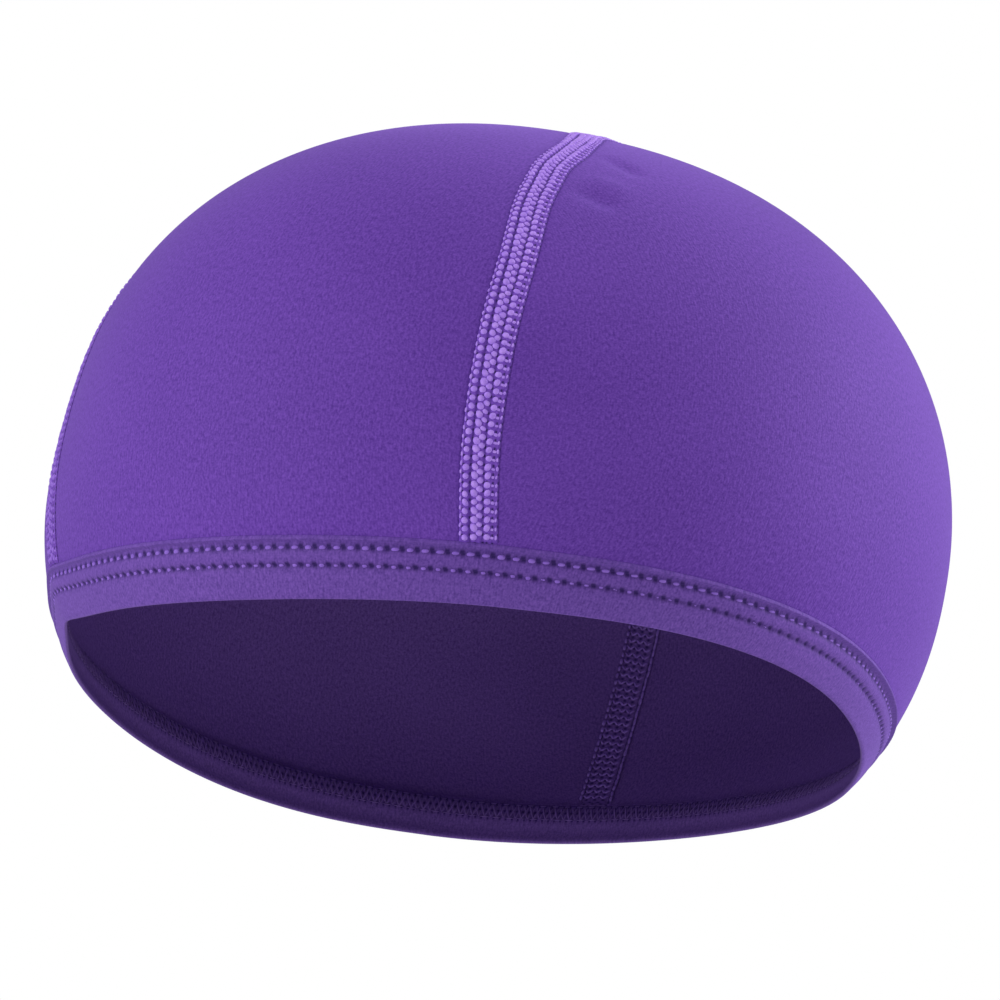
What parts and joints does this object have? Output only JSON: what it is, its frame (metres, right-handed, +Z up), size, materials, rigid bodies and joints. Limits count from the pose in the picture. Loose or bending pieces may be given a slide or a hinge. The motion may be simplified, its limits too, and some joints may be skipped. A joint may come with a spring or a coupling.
{
  "type": "cooling cap",
  "caption": "Close-fitting dome cap of thin stretch cloth with flat raised seams, a folded edge band and an open head hollow.",
  "frame": {"origin": "middle of the head opening, at the hem's mean level, where the cap sits on a head", "axes": "+Z up to the crown, -Y to the front, +X to the right of someone who faces the front"},
  "size_m": [0.1577, 0.1911, 0.1056],
  "materials": {
    "cloth": "fine smooth purple stretch knit",
    "band_cloth": "fine smooth purple stretch knit, folded and stitched",
    "seam_thread": "lighter purple flat seam stitches"
  },
  "bodies": {
    "root": {"front_left_panel": "cloth", "front_right_panel": "cloth", "back_right_panel": "cloth", "back_left_panel": "cloth", "centre_seam": "seam_thread", "left_side_seam": "seam_thread", "right_side_seam": "seam_thread", "edge_binding": "band_cloth"}
  },
  "joints": []
}
